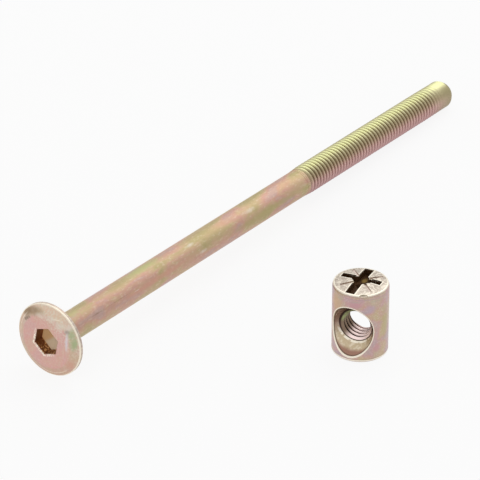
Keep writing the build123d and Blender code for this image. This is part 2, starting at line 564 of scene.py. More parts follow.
class NodeDesk:
    """Lays out the nodes of one material or node group; a value is a number or a socket."""

    def __init__(self, tree: bpy.types.NodeTree) -> None:
        """Starts on a node tree."""
        self.nodes = tree.nodes
        self.links = tree.links

    def feed(self, socket: Socket, value: Value | Direction) -> None:
        """Links a socket to another, or sets it to a number, vector or colour."""
        if isinstance(value, Socket):
            self.links.new(value, socket)
        elif socket.type == "RGBA":
            socket.default_value = (*value, 1.0)
        else:
            socket.default_value = value

    def math(self, how: str, first: Value, second: Value = 0.0, clamp: bool = False) -> Socket:
        """One step of arithmetic."""
        node = self.nodes.new("ShaderNodeMath")
        node.operation = how
        node.use_clamp = clamp
        self.feed(node.inputs[0], first)
        self.feed(node.inputs[1], second)
        return node.outputs[0]

    def times(self, first: Value, *others: Value) -> Value:
        """Multiplies values; masks multiplied hold where all of them hold."""
        for other in others:
            first = self.math("MULTIPLY", first, other)
        return first

    def plus(self, first: Value, second: Value) -> Socket:
        """The sum of two values."""
        return self.math("ADD", first, second)

    def minus(self, first: Value, second: Value) -> Socket:
        """The difference of two values."""
        return self.math("SUBTRACT", first, second)

    def apart(self, first: Value, second: Value) -> Socket:
        """How far two values are apart."""
        return self.math("ABSOLUTE", self.minus(first, second))

    def greater(self, first: Value, second: Value) -> Socket:
        """The greater of two values; masks joined hold where either holds."""
        return self.math("MAXIMUM", first, second)

    def vector(self, how: str, first: Direction, second: Direction = (0, 0, 0)) -> Socket:
        """One step of vector arithmetic."""
        node = self.nodes.new("ShaderNodeVectorMath")
        node.operation = how
        self.feed(node.inputs[0], first)
        self.feed(node.inputs[1], second)
        return node.outputs["Value" if how in ("LENGTH", "DOT_PRODUCT") else "Vector"]

    def axes(self, place: Direction) -> list[Socket]:
        """The three coordinates of a place."""
        node = self.nodes.new("ShaderNodeSeparateXYZ")
        self.feed(node.inputs[0], place)
        return list(node.outputs)

    def distance(self, first: Value, second: Value) -> Socket:
        """Distance from an axis, from the two coordinates across it."""
        node = self.nodes.new("ShaderNodeCombineXYZ")
        self.feed(node.inputs[0], first)
        self.feed(node.inputs[1], second)
        return self.vector("LENGTH", node.outputs[0])

    def ease(self, value: Value, start: float, end: float) -> Socket:
        """Rises softly from 0 at the start to 1 at the end."""
        node = self.nodes.new("ShaderNodeMapRange")
        node.interpolation_type = "SMOOTHSTEP"
        self.feed(node.inputs["Value"], value)
        node.inputs["From Min"].default_value = start
        node.inputs["From Max"].default_value = end
        return node.outputs["Result"]

    def between(self, value: Value, low: float, high: float, soft: float) -> Socket:
        """1 between two values, with soft ends outside them."""
        return self.times(self.ease(value, low - soft, low), self.ease(value, high + soft, high))

    def noise(self, place: Direction, scale: float, detail: float, distortion: float = 0.0) -> Socket:
        """Soft noise between 0 and 1."""
        node = self.nodes.new("ShaderNodeTexNoise")
        self.feed(node.inputs["Vector"], place)
        node.inputs["Scale"].default_value = scale
        node.inputs["Detail"].default_value = detail
        node.inputs["Distortion"].default_value = distortion
        return node.outputs["Fac"]

    def ramp(self, value: Value, stops: Stops) -> Socket:
        """Colours laid out along a value."""
        node = self.nodes.new("ShaderNodeValToRGB")
        band = node.color_ramp
        while len(band.elements) < len(stops):
            band.elements.new(stops[0][0])
        for element, (position, colour) in zip(band.elements, stops):
            element.position = position
            element.color = (*colour, 1.0)
        self.feed(node.inputs[0], value)
        return node.outputs["Color"]

    def blend(self, share: Value, low: Direction, high: Direction, how: str = "MIX") -> Socket:
        """Blends two colours by a share."""
        node = self.nodes.new("ShaderNodeMix")
        node.data_type = "RGBA"
        node.blend_type = how
        low_socket, high_socket = [socket for socket in node.inputs if socket.type == "RGBA"]
        self.feed(node.inputs[0], share)
        self.feed(low_socket, low)
        self.feed(high_socket, high)
        return next(socket for socket in node.outputs if socket.type == "RGBA")

    def group(self, tree: bpy.types.NodeTree, **values: Value | Direction) -> bpy.types.NodeOutputs:
        """Places a node group with its own values and gives its outputs."""
        node = self.nodes.new("ShaderNodeGroup")
        node.node_tree = tree
        for name, value in values.items():
            self.feed(node.inputs[name.replace("_", " ")], value)
        return node.outputs

    def own_place(self, frame: Matrix) -> Socket:
        """Places on a piece in millimetres in the piece's own frame."""
        here = self.nodes.new("ShaderNodeTexCoord")
        mapping = self.nodes.new("ShaderNodeMapping")
        mapping.vector_type = "TEXTURE"
        mapping.inputs["Location"].default_value = frame.to_translation()
        mapping.inputs["Rotation"].default_value = frame.to_euler()
        mapping.inputs["Scale"].default_value = (MILLIMETRE,) * 3
        self.links.new(here.outputs["Object"], mapping.inputs["Vector"])
        return mapping.outputs[0]


class EffectGroup(NodeDesk):
    """One node group with named inputs and outputs."""

    def __init__(self, name: str, takes: dict[str, str], gives: dict[str, str]) -> None:
        """Starts the group.

        Args:
            name: Name of the group.
            takes: Its inputs, each with its kind: Vector, Float or Color.
            gives: Its outputs in the same form.
        """
        self.tree = bpy.data.node_groups.new(name, "ShaderNodeTree")
        for side, sockets in (("INPUT", takes), ("OUTPUT", gives)):
            for socket, kind in sockets.items():
                self.tree.interface.new_socket(name=socket, in_out=side, socket_type="NodeSocket" + kind)
        super().__init__(self.tree)
        self.given = self.nodes.new("NodeGroupInput").outputs
        self.out = self.nodes.new("NodeGroupOutput").inputs


class Effects:
    """The node groups that both finishes share, each built once."""

    def __init__(self) -> None:
        """Builds the groups."""
        self.film = self.film_colours()
        self.spot = self.soft_spot()
        self.grain = self.fine_grain()
        self.edge = self.worn_edge()

    @staticmethod
    def film_colours() -> bpy.types.NodeTree:
        """The colours that a thin plated film runs through, in soft drawn-out patches."""
        desk = EffectGroup("film_colours", {"Place": "Vector", "Shift": "Float"}, {"Colour": "Color"})
        patches = desk.noise(desk.given["Place"], scale=1.0, detail=3, distortion=0.5)
        colour = desk.ramp(desk.plus(desk.ease(patches, 0.28, 0.72), desk.given["Shift"]), FILM)
        mottle = desk.ease(desk.noise(desk.given["Place"], scale=9.0, detail=4), 0.25, 0.75)
        toned = desk.blend(desk.times(mottle, 0.35), colour, FILM_MOTTLE, "MULTIPLY")
        desk.feed(desk.out["Colour"], toned)
        return desk.tree

    @staticmethod
    def soft_spot() -> bpy.types.NodeTree:
        """A soft-edged spot round a place, ragged like a stain."""
        takes = {"Place": "Vector", "Centre": "Vector", "Half Size": "Vector", "Ragged": "Float"}
        desk = EffectGroup("soft_spot", takes, {"Mask": "Float"})
        offset = desk.vector("SUBTRACT", desk.given["Place"], desk.given["Centre"])
        reach = desk.vector("LENGTH", desk.vector("DIVIDE", offset, desk.given["Half Size"]))
        rough = desk.times(desk.noise(desk.given["Place"], scale=1.6, detail=3), desk.given["Ragged"])
        desk.feed(desk.out["Mask"], desk.ease(desk.plus(reach, rough), 1.25, 0.45))
        return desk.tree

    @staticmethod
    def worn_edge() -> bpy.types.NodeTree:
        """A painted highlight along an edge, broken up by noise."""
        takes = {"Place": "Vector", "Distance": "Float", "Width": "Float", "Broken": "Float"}
        desk = EffectGroup("worn_edge", takes, {"Mask": "Float"})
        share = desk.math("DIVIDE", desk.given["Distance"], desk.given["Width"])
        wear = desk.times(desk.noise(desk.given["Place"], scale=1.4, detail=4), desk.given["Broken"])
        desk.feed(desk.out["Mask"], desk.ease(desk.plus(share, wear), 1.2, 0.7))
        return desk.tree

    @staticmethod
    def fine_grain() -> bpy.types.NodeTree:
        """Drawn lines and fine pits: a height for bump and a share for roughness."""
        takes = {"Place": "Vector", "Lines": "Vector"}
        desk = EffectGroup("fine_grain", takes, {"Height": "Float", "Share": "Float"})
        drawn = desk.vector("MULTIPLY", desk.given["Place"], desk.given["Lines"])
        lines = desk.noise(drawn, scale=1.0, detail=3)
        pits = desk.noise(desk.given["Place"], scale=5.0, detail=4)
        desk.feed(desk.out["Height"], desk.plus(desk.times(lines, 0.6), desk.times(pits, 0.4)))
        desk.feed(desk.out["Share"], desk.noise(desk.given["Place"], scale=0.8, detail=3))
        return desk.tree


@dataclass(frozen=True)
class Finish:
    """How plated zinc takes the light, and the drawn lines and dents in its surface."""

    name: str
    roughness: tuple[float, float]
    lines: Point
    bump: float
    bump_depth: float = 0.02
    mirror: float = 0.15
    soot_roughness: float = 0.25
    soot_dullness: float = 0.85
    dent_depth: float = 7.0


class Coat:
    """The finish of one piece, whose colours are laid on one over the other.

    All places are in millimetres in the piece's own frame. A layer takes masks, which all have to
    hold, and a number among them thins it.
    """

    def __init__(self, finish: Finish, effects: Effects, frame: Matrix) -> None:
        """Starts the material on a piece with its own frame."""
        self.finish = finish
        self.effects = effects
        self.material = bpy.data.materials.new(finish.name)
        self.material.use_nodes = True
        self.desk = NodeDesk(self.material.node_tree)
        self.place = self.desk.own_place(frame)
        self.along, self.aside, self.up = self.desk.axes(self.place)
        self.colour: Direction = WHITE

    def lay(self, colour: Direction, *masks: Value) -> None:
        """Lays a colour over the earlier ones where the masks hold."""
        self.colour = self.desk.blend(self.desk.times(*masks), self.colour, colour)

    def toward(self, direction: Point) -> Socket:
        """How far each place lies along a direction."""
        return self.desk.vector("DOT_PRODUCT", self.place, direction)

    def film(self, scale: Point, shift: float) -> Socket:
        """The film's colours, drawn out by a scale and shifted along their run."""
        drawn = self.desk.vector("MULTIPLY", self.place, scale)
        return self.desk.group(self.effects.film, Place=drawn, Shift=shift)["Colour"]

    def flecks(self, scale: float, detail: float, low: float, high: float, distortion: float = 0.0) -> Socket:
        """Noise turned into flecks, which rise where it passes from the low to the high level."""
        return self.desk.ease(self.desk.noise(self.place, scale, detail, distortion), low, high)

    def highlight_line(self, distance: Value, width: float, broken: float) -> Socket:
        """A painted highlight where the distance to an edge is small, broken up by noise."""
        edge = self.effects.edge
        return self.desk.group(edge, Place=self.place, Distance=distance, Width=width, Broken=broken)["Mask"]

    def stain(self, patches: Iterable[Patch]) -> None:
        """Lays patches on, one after the other."""
        for patch in patches:
            values = {"Centre": patch.centre, "Half_Size": patch.half_size, "Ragged": patch.ragged}
            spot = self.desk.group(self.effects.spot, Place=self.place, **values)["Mask"]
            self.lay(patch.colour, spot, patch.strength)

    def complete(self, sooty: Value, dents: Value = 0.0) -> bpy.types.Material:
        """Feeds the colour, the roughness and the grain to the shader.

        Args:
            sooty: Where the surface is dull and mirrors little, as deep in a recess.
            dents: Where the surface is dented by the punch.

        Returns:
            The finished material.
        """
        desk, finish = self.desk, self.finish
        shader = desk.nodes["Principled BSDF"].inputs
        grain = desk.group(self.effects.grain, Place=self.place, Lines=finish.lines)
        smoothest, roughest = finish.roughness
        uneven = desk.plus(desk.times(grain["Share"], roughest - smoothest), smoothest)
        duller = desk.times(sooty, finish.soot_roughness)
        desk.feed(shader["Roughness"], desk.math("ADD", uneven, duller, clamp=True))
        desk.feed(shader["Base Color"], self.colour)
        desk.feed(shader["Specular IOR Level"], finish.mirror)
        desk.feed(shader["Metallic"], desk.minus(1.0, desk.times(sooty, finish.soot_dullness)))
        deep = desk.times(desk.noise(self.place, scale=0.75, detail=2), finish.dent_depth)
        bump = desk.nodes.new("ShaderNodeBump")
        bump.inputs["Strength"].default_value = finish.bump
        bump.inputs["Distance"].default_value = finish.bump_depth * MILLIMETRE
        desk.feed(bump.inputs["Height"], desk.plus(grain["Height"], desk.times(deep, dents)))
        desk.feed(shader["Normal"], bump.outputs[0])
        return self.material


@dataclass
class Bolt:
    """The connector bolt, in millimetres along its axis from the head's face."""

    thread: Thread
    face: Vector
    direction: Vector
    crest_radius: float
    head_radius: float = 7.3
    flat_radius: float = 5.25
    bevel_height: float = 1.07
    head_height: float = 1.85
    rim_round: float = 0.15
    flat_round: float = 0.4
    neck_radius: float = 3.187
    neck_round: float = 0.3
    neck_end: float = 2.6
    neck_taper: float = 0.8
    shank_radius: float = 2.8
    length_under_head: float = 130.0
    thread_length: float = 50.0
    run_out: float = 3.0
    spare_turns: int = 3
    tip_length: float = 1.2
    tip_depth: float = 0.75
    tip_round: float = 0.5
    end_round: float = 1.5
    end_inset: float = 0.05
    smooth_end: float = 8.5
    smooth_fade: float = 5.0
    hex_flats: float = 5.0
    hex_depth: float = 2.3
    hex_turn: float = 19.5
    hex_edge: float = 0.12
    drill_radius: float = 2.4
    drill_angle: float = 120.0
    drill_reach: float = 5.0
    socket_clear: float = 3.0
    # Radius of a painted highlight line low on the bevel
    highlight_ring: float = 6.5
    steps: int = 80
    finish: Finish = Finish("bolt_zinc", (0.46, 0.6), lines=(0.12, 5.0, 5.0), bump=0.35)
    patches: tuple[Patch, ...] = ()

    @property
    def length(self) -> float:
        """Whole length of the bolt."""
        return self.head_height + self.length_under_head

    @property
    def thread_start(self) -> float:
        """Where the thread reaches its full depth."""
        return self.length - self.thread_length

    @property
    def thread_end(self) -> float:
        """Where the tip's chamfer starts."""
        return self.length - self.tip_length

    def frame(self) -> Matrix:
        """Matrix from the bolt's own frame to the model's, without the change to metres."""
        aside = Vector((0, 1, 0))
        turn = Matrix((self.direction, aside, self.direction.cross(aside))).transposed().to_4x4()
        return Matrix.Translation(self.face) @ turn

    def roll_thread(self) -> Piece:
        """Makes the threaded rod; its ridges fade into the shank and into a smooth end."""
        start = self.thread_start - self.run_out
        turns = math.ceil((self.length - start) / self.thread.pitch) + self.spare_turns
        rod = Bench.wind_rod("bolt_body", self.thread, self.crest_radius, turns, self.steps)
        Bench.move(rod, Matrix.Translation((0, 0, start - self.spare_turns / 2 * self.thread.pitch)))
        smooth_start = self.length - self.smooth_end
        Bench.fade_round(rod, self.shank_radius, lambda z: (self.thread_start - z) / self.run_out)
        Bench.fade_round(
            rod, self.crest_radius - self.end_inset, lambda z: (z - smooth_start) / self.smooth_fade
        )
        Bench.slice_off(rod, start, below=True, fill=False)
        Bench.slice_off(rod, self.length, below=False, fill=True)
        return rod

    def draw_head(self, rod: Piece) -> None:
        """Draws the shank, the neck and the head out of the rod's plain end."""
        start = self.thread_start - self.run_out
        corners = (
            Corner(start, self.shank_radius),
            Corner(self.neck_end + self.neck_taper, self.shank_radius),
            Corner(self.neck_end, self.neck_radius),
            Corner(self.head_height, self.neck_radius, self.neck_round),
            Corner(self.head_height, self.head_radius, self.rim_round),
            Corner(self.bevel_height, self.head_radius, self.rim_round),
            Corner(0, self.flat_radius, self.flat_round),
            Corner(0, self.hex_flats),
        )
        Bench.draw_out(rod, start, Outline(corners))
        Bench.clean(rod)

    def round_tip(self, rod: Piece) -> None:
        """Turns the well rounded chamfer at the tip."""
        clear = self.head_radius + 2
        below, before = -1, self.thread_end - 1
        corners = (
            Corner(below, 0),
            Corner(below, clear),
            Corner(before, clear),
            Corner(before, self.crest_radius),
            Corner(self.thread_end, self.crest_radius - self.end_inset / 2, self.end_round),
            Corner(self.length, self.crest_radius - self.tip_depth, self.tip_round),
            Corner(self.length, 0),
        )
        Bench.combine(rod, Bench.turn_body("tip_tool", Outline(corners), self.steps), Solver.KEEP)

    def punch_socket(self, rod: Piece) -> None:
        """Cuts the hexagon socket, its broken edge and the drilled point under it."""
        corner = self.hex_flats / 2 / math.cos(math.pi / 6)
        floor, edge = self.hex_depth, self.hex_edge
        point = self.drill_radius / math.tan(math.radians(self.drill_angle / 2))
        turn = Matrix.Rotation(-math.radians(self.hex_turn), 4, "Z")
        for tool in (
            Bench.prism("hexagon_tool", 6, (corner, corner), (-1, floor)),
            Bench.prism("edge_tool", 6, (corner + 2 * edge, corner), (-edge, edge)),
            Bench.prism("drill_tool", self.steps, (self.drill_radius, 0), (floor - TOUCH, floor + point)),
        ):
            Bench.move(tool, turn)
            Bench.combine(rod, tool, Solver.CUT)

    def dress(self, effects: Effects) -> bpy.types.Material:
        """Yellow film over the shank, ridges with a painted highlight on top and painted shade in the
        grooves, and a socket with painted shade and light.
        """
        coat = Coat(self.finish, effects, self.frame())
        desk, along = coat.desk, coat.along
        radius = desk.distance(coat.aside, coat.up)
        coat.colour = coat.film((0.12, 0.36, 0.36), shift=-0.02)
        drawn = desk.vector("MULTIPLY", coat.place, (1.0, 2.2, 2.2))
        coat.lay(SPECKLE, desk.ease(desk.noise(drawn, scale=1.0, detail=4), 0.52, 0.72), 0.4)
        on_head = desk.ease(along, self.head_height + 0.35, self.head_height + 0.05)
        coat.lay(self.head_colour(coat, radius), on_head)
        coat.stain(self.patches)
        self.paint_edge_highlights(coat, radius)
        threaded = desk.ease(along, self.thread_start - 2.6, self.thread_start - 0.6)
        coat.lay(self.lit_thread_colour(coat, radius), threaded)
        rolled_end = desk.ease(along, self.length - self.smooth_end, self.thread_end)
        coat.lay(END_OLIVE, rolled_end, desk.ease(coat.up, 2.9, 2.3), 0.8)
        floor = self.paint_socket_light(coat, radius)
        return coat.complete(sooty=floor)

    def head_colour(self, coat: Coat, radius: Socket) -> Socket:
        """Salmon pink on the flat, beige to salmon on the bevel, lighter on top as painted light, greyish
        beige on the rim, and a painted frost highlight strongest on the upper right.
        """
        desk = coat.desk
        bevel = desk.ramp(desk.ease(coat.up, -self.head_radius, self.head_radius), HEAD_BEVEL_LIGHT)
        on_bevel = desk.ease(radius, self.flat_radius, self.flat_radius + 0.5)
        on_rim = desk.ease(coat.along, self.bevel_height, self.bevel_height + 0.25)
        colour = desk.blend(on_rim, desk.blend(on_bevel, HEAD_FLAT, bevel), HEAD_RIM)
        colour = desk.blend(0.35, colour, coat.film((0.3, 0.3, 0.3), shift=0.1))
        # Painted highlight: frost mottle, strongest on the upper right of the head
        upper_right = desk.ease(coat.toward((0, -0.55, 0.84)), 1.5, 5.0)
        frost_highlight = coat.flecks(2.6, 5, low=0.4, high=0.7)
        return desk.blend(desk.times(frost_highlight, desk.plus(desk.times(upper_right, 0.55), 0.3)), colour, FROST_HIGHLIGHT)

    def paint_edge_highlights(self, coat: Coat, radius: Socket) -> None:
        """Lays painted highlights: cream lines on the rim and low on the bevel, and cream on the burrs beside
        the hexagon.
        """
        desk, along = coat.desk, coat.along
        from_rim = desk.distance(
            desk.minus(along, self.bevel_height), desk.minus(radius, self.head_radius)
        )
        coat.lay(CREAM_HIGHLIGHT, coat.highlight_line(from_rim, width=0.32, broken=0.6), 0.85)
        low_left = desk.ease(desk.minus(coat.aside, coat.up), -0.5, 2.0)
        line = coat.highlight_line(desk.apart(radius, self.highlight_ring), width=0.16, broken=1.0)
        coat.lay(CREAM_HIGHLIGHT, line, low_left, desk.ease(along, 1.2, 1.0), 0.6)
        outside = 0.0
        for flat in range(3):
            turn = math.radians(30 - self.hex_turn + 60 * flat)
            reach = desk.math("ABSOLUTE", coat.toward((0, math.cos(turn), math.sin(turn))))
            outside = desk.greater(outside, reach)
        beside = desk.between(desk.minus(outside, self.hex_flats / 2), 0.0, 0.35, soft=0.12)
        burr_highlight = coat.flecks(3.5, 4, low=0.42, high=0.56)
        coat.lay(CREAM_HIGHLIGHT, beside, low_left, burr_highlight, desk.ease(along, 0.3, 0.2))

    def lit_thread_colour(self, coat: Coat, radius: Socket) -> Socket:
        """Painted light on the thread: crests with a pale yellow painted highlight on top and mauve below,
        and olive-brown grooves between them darkened as painted shade.
        """
        desk = coat.desk
        height = desk.plus(desk.math("DIVIDE", coat.up, 2 * self.crest_radius), 0.5)
        deep = desk.ease(radius, self.crest_radius - 0.08, self.crest_radius - self.thread.depth + 0.15)
        return desk.blend(deep, desk.ramp(height, THREAD_CREST_LIGHT), desk.ramp(height, THREAD_ROOT_SHADE))

    def paint_socket_light(self, coat: Coat, radius: Socket) -> Socket:
        """Lays brown painted shade with painted gold glints on the socket's walls, and painted light from
        gold to cream on its floor.

        Args:
            coat: The bolt's finish.
            radius: Distance from the bolt's axis.

        Returns:
            Where the floor is.
        """
        desk, along = coat.desk, coat.along
        by_drill = desk.ease(radius, self.drill_radius + 0.2, self.drill_radius + 0.1)
        drilled = desk.times(by_drill, desk.ease(along, self.drill_reach + 1.0, self.drill_reach))
        within = desk.greater(desk.ease(along, self.hex_depth + 0.2, self.hex_depth + 0.1), drilled)
        by_axis = desk.ease(radius, self.socket_clear, self.socket_clear - 0.05)
        socket = desk.times(desk.ease(along, 0.08, 0.2), by_axis, within)
        floor = desk.times(socket, desk.ease(along, self.hex_depth - 0.12, self.hex_depth - 0.02))
        glints = desk.times(coat.flecks(2.6, 3, low=0.48, high=0.62), desk.ease(coat.up, -0.8, -2.2), 0.8)
        coat.lay(desk.blend(glints, SOCKET_SHADE_BROWN, SOCKET_GOLD), socket)
        lit = desk.ease(coat.toward((0, -0.57, -0.82)), -0.2, 0.5)
        coat.lay(desk.blend(lit, SOCKET_GOLD, SOCKET_HIGHLIGHT_CREAM), floor)
        return floor

    def build(self) -> Piece:
        """Makes the whole bolt and sets it in its place, from millimetres to metres."""
        piece = self.roll_thread()
        self.draw_head(piece)
        self.round_tip(piece)
        self.punch_socket(piece)
        Bench.smooth(piece)
        Bench.move(piece, self.frame() @ Matrix.Scale(MILLIMETRE, 4) @ Matrix.Rotation(QUARTER, 4, "Y"))
        return piece


@dataclass
class BarrelNut:
    """The barrel nut, in millimetres from the middle of its plain end."""

    thread: Thread
    foot: Vector
    bore_direction: Vector
    bore_height: float
    bore_radius: float
    radius: float = 5.325
    height: float = 14.65
    crown: float = 0.25
    crown_steps: int = 6
    bevel_height: float = 0.6
    bevel_depth: float = 0.22
    edge_round: float = 0.15
    bevel_round: float = 1.0
    foot_round: float = 0.45
    mouth_radius: float = 5.275
    mouth_floor_radius: float = 3.4
    mouth_angle: float = 62.0
    mouth_edge: float = 0.12
    lead_in_angle: float = 120.0
    wide_slot: tuple[float, float] = (9.5, 1.85)
    cross_slot: tuple[float, float] = (1.45, 7.9)
    cross_slot_offset: float = 0.85
    slot_aside: float = 0.25
    slot_depth: float = 1.5
    slot_corner: float = 0.35
    pit_width: float = 3.1
    pit_floor_width: float = 0.8
    pit_depth: float = 2.8
    pit_offset: float = 0.35
    tick_reach: tuple[float, float] = (1.5, 4.3)
    tick_width: float = 0.5
    tick_depth: float = 0.3
    nick_angle: float = 209.0
    nick_size: Point = (0.5, 0.85, 0.36)
    nick_inset: float = 0.15
    nick_below: float = 0.38
    mouth_top: float = 12.0
    slot_reach: float = 4.95
    slot_lowest: float = 11.0
    steps: int = 96
    finish: Finish = Finish("nut_zinc", (0.28, 0.42), lines=(3.0, 3.0, 0.5), bump=0.3)
    patches: tuple[Patch, ...] = ()
    marks: tuple[Patch, ...] = ()

    @property
    def mouth_slope(self) -> float:
        """How much the mouth widens for each millimetre outwards."""
        return math.tan(math.radians(self.mouth_angle / 2))

    @property
    def mouth_floor(self) -> float:
        """Distance from the nut's axis to the floor of each mouth."""
        return self.radius - (self.mouth_radius - self.mouth_floor_radius) / self.mouth_slope

    @property
    def shoulder(self) -> float:
        """Height of the crown's edge, where the top bevel starts."""
        return self.height - self.crown

    def frame(self) -> Matrix:
        """Matrix from the nut's own frame to the model's, without the change to metres."""
        up = Vector((0, 0, 1))
        turn = Matrix((self.bore_direction, up.cross(self.bore_direction), up)).transposed().to_4x4()
        return Matrix.Translation(self.foot) @ turn

    def across(self) -> Matrix:
        """Matrix from a tool's upright axis to the bore's axis."""
        return Matrix.Translation((0, 0, self.bore_height)) @ Matrix.Rotation(QUARTER, 4, "Y")

    def blank(self) -> Piece:
        """Turns the plain barrel with its low crown."""
        edge = self.radius - self.bevel_depth
        shares = [step / self.crown_steps for step in range(self.crown_steps)]
        crown = tuple(Corner(self.height - self.crown * share**2, edge * share) for share in shares)
        side = (
            Corner(self.shoulder, edge, self.edge_round),
            Corner(self.shoulder - self.bevel_height, self.radius, self.bevel_round),
            Corner(0, self.radius, self.foot_round),
            Corner(0, 0),
        )
        return Bench.turn_body("nut_body", Outline(crown + side), self.steps)

    def sink_mouths(self, piece: Piece) -> None:
        """Sinks both mouths with the cones that lead into the thread, and breaks their rims."""
        floor, reach = self.mouth_floor, self.radius * 2
        wide = self.mouth_floor_radius + (reach - floor) * self.mouth_slope
        start = floor - self.mouth_floor_radius / math.tan(math.radians(self.lead_in_angle / 2))
        for side in (0, 2):
            mouth = Bench.prism("mouth_tool", self.steps, (self.mouth_floor_radius, wide), (floor, reach))
            lead = Bench.prism("lead_tool", self.steps, (0, self.mouth_floor_radius), (start, floor))
            Bench.combine(mouth, lead, Solver.JOIN)
            Bench.move(mouth, self.across() @ Matrix.Rotation(QUARTER * side, 4, "Y"))
            Bench.combine(piece, mouth, Solver.CUT)
        on_rim = [self.at_rim(vertex.co) for vertex in piece.data.vertices]
        LOG.info("mouth rims: %d edges", Bench.bevel(piece, Bench.ends_in(on_rim), self.mouth_edge, 2))

    def at_rim(self, place: Vector) -> bool:
        """Whether a point lies where a mouth meets the barrel's side."""
        away = math.hypot(place.y, place.z - self.bore_height)
        cone = self.mouth_floor_radius + (abs(place.x) - self.mouth_floor) * self.mouth_slope
        return math.hypot(place.x, place.y) > self.radius - TOUCH and abs(away - cone) < TOUCH

    def tap_bore(self, piece: Piece) -> None:
        """Cuts the bore with its thread right through, from mouth to mouth."""
        turns = 2 * math.ceil(self.mouth_floor / self.thread.pitch) + 3
        half = self.mouth_floor + self.thread.pitch
        root = self.bore_radius + self.thread.depth
        tap = Bench.wind_rod("tap_tool", self.thread, root, turns, self.steps)
        Bench.move(tap, Matrix.Translation((0, 0, -turns * self.thread.pitch / 2)))
        Bench.slice_off(tap, -half, below=True, fill=True)
        Bench.slice_off(tap, half, below=False, fill=True)
        Bench.clean(tap)
        Bench.move(tap, self.across())
        Bench.combine(piece, tap, Solver.CUT)

    def punch_recess(self, piece: Piece) -> None:
        """Punches the crossed slots, the pointed pit and the tick marks in the top."""
        top, clear = self.height, 1.0
        middle, deep = top + (clear - self.slot_depth) / 2, self.slot_depth + clear
        wide_length, wide_width = self.wide_slot
        cross_width, cross_length = self.cross_slot
        crossing = (self.cross_slot_offset, self.slot_aside)
        slots = Bench.block("slot_tool", (wide_length, wide_width, deep), (0, self.slot_aside, middle))
        arm = Bench.block("arm_tool", (cross_width, cross_length, deep), (*crossing, middle))
        Bench.combine(slots, arm, Solver.JOIN)
        inner = math.hypot(wide_width, cross_width) / 2 + TOUCH
        near = [math.dist(vertex.co[:2], crossing) < inner for vertex in slots.data.vertices]
        Bench.bevel(slots, Bench.ends_in(near), self.slot_corner, 4)
        Bench.combine(piece, slots, Solver.CUT)
        corner, floor_corner = self.pit_width / math.sqrt(2), self.pit_floor_width / math.sqrt(2)
        growth = (corner - floor_corner) / self.pit_depth * clear
        heights = (top - self.pit_depth, top + clear)
        pit = Bench.prism("pit_tool", 4, (floor_corner, corner + growth), heights)
        Bench.move(pit, Matrix.Translation((self.pit_offset, 0, 0)))
        Bench.combine(piece, pit, Solver.CUT)
        start, end = self.tick_reach
        for quarter in range(4):
            turn = QUARTER * (quarter + 0.5)
            out = Vector((math.cos(turn), math.sin(turn))) * (start + end) / 2
            centre = (self.pit_offset + out.x, out.y, top + (clear - self.tick_depth) / 2)
            size = (end - start, self.tick_width, clear + self.tick_depth)
            Bench.combine(piece, Bench.block("tick_tool", size, centre, turn), Solver.CUT)

    def strike_nick(self, piece: Piece) -> None:
        """Dents the front of the top rim."""
        bpy.ops.mesh.primitive_uv_sphere_add(segments=24, ring_count=12, radius=1)
        dent = Bench.fresh("nick_tool")
        turn = math.radians(self.nick_angle)
        out = Vector((math.cos(turn), math.sin(turn), 0)) * (self.radius - self.nick_inset)
        centre = out + Vector((0, 0, self.height - self.nick_below))
        place = Matrix.Translation(centre) @ Matrix.Rotation(turn, 4, "Z")
        Bench.move(dent, place @ Matrix.Diagonal((*self.nick_size, 1)))
        Bench.combine(piece, dent, Solver.CUT)

    def dress(self, effects: Effects) -> bpy.types.Material:
        """Pink and lilac film on the side, a pale top, dark slots of painted shade, and bright broken-up
        edges of painted highlights.
        """
        coat = Coat(self.finish, effects, self.frame())
        desk, along, aside, up = coat.desk, coat.along, coat.aside, coat.up
        out = desk.distance(along, aside)
        level = desk.minus(up, self.bore_height)
        away = desk.distance(aside, level)
        reach = desk.minus(desk.math("ABSOLUTE", along), self.mouth_floor)
        self.cover_side(coat)
        self.cover_top(coat, out)
        under_surface = desk.ease(out, self.radius - 0.02, self.radius - 0.1)
        inside = desk.times(under_surface, desk.ease(up, self.mouth_top, self.mouth_top - 0.5))
        coat.lay(self.mouth_light_colour(coat, out, level, away), inside)
        # Painted highlight in cream round the mouths' rims
        cone = desk.plus(desk.times(reach, self.mouth_slope), self.mouth_floor_radius)
        from_rim = desk.greater(desk.minus(away, cone), desk.minus(self.radius, out))
        below_bands = desk.ease(up, self.mouth_top + 0.6, self.mouth_top + 0.3)
        coat.lay(CREAM_HIGHLIGHT, coat.highlight_line(from_rim, width=0.26, broken=0.3), below_bands, 0.9)
        past_lead = desk.ease(away, self.mouth_floor_radius + 0.05, self.mouth_floor_radius)
        coat.lay(self.bore_colour(coat, level, away, reach), desk.ease(reach, 0.05, -0.05), past_lead)
        # Painted shade in dark brown in the slots
        below_top = desk.ease(up, self.height - 0.38, self.height - 0.5)
        within = desk.times(below_top, desk.ease(out, self.slot_reach, self.slot_reach - 0.07))
        off_nick = desk.greater(desk.ease(along, -3.8, -3.6), desk.ease(aside, -1.2, -0.9))
        slots = desk.times(within, off_nick, desk.ease(up, self.slot_lowest, self.slot_lowest + 0.5))
        coat.lay(SLOT_SHADE_BROWN, slots)
        coat.stain(self.marks)
        punched = desk.times(desk.ease(up, self.height - 0.6, self.height - 0.4), desk.ease(out, 5.2, 4.9))
        return coat.complete(sooty=slots, dents=punched)

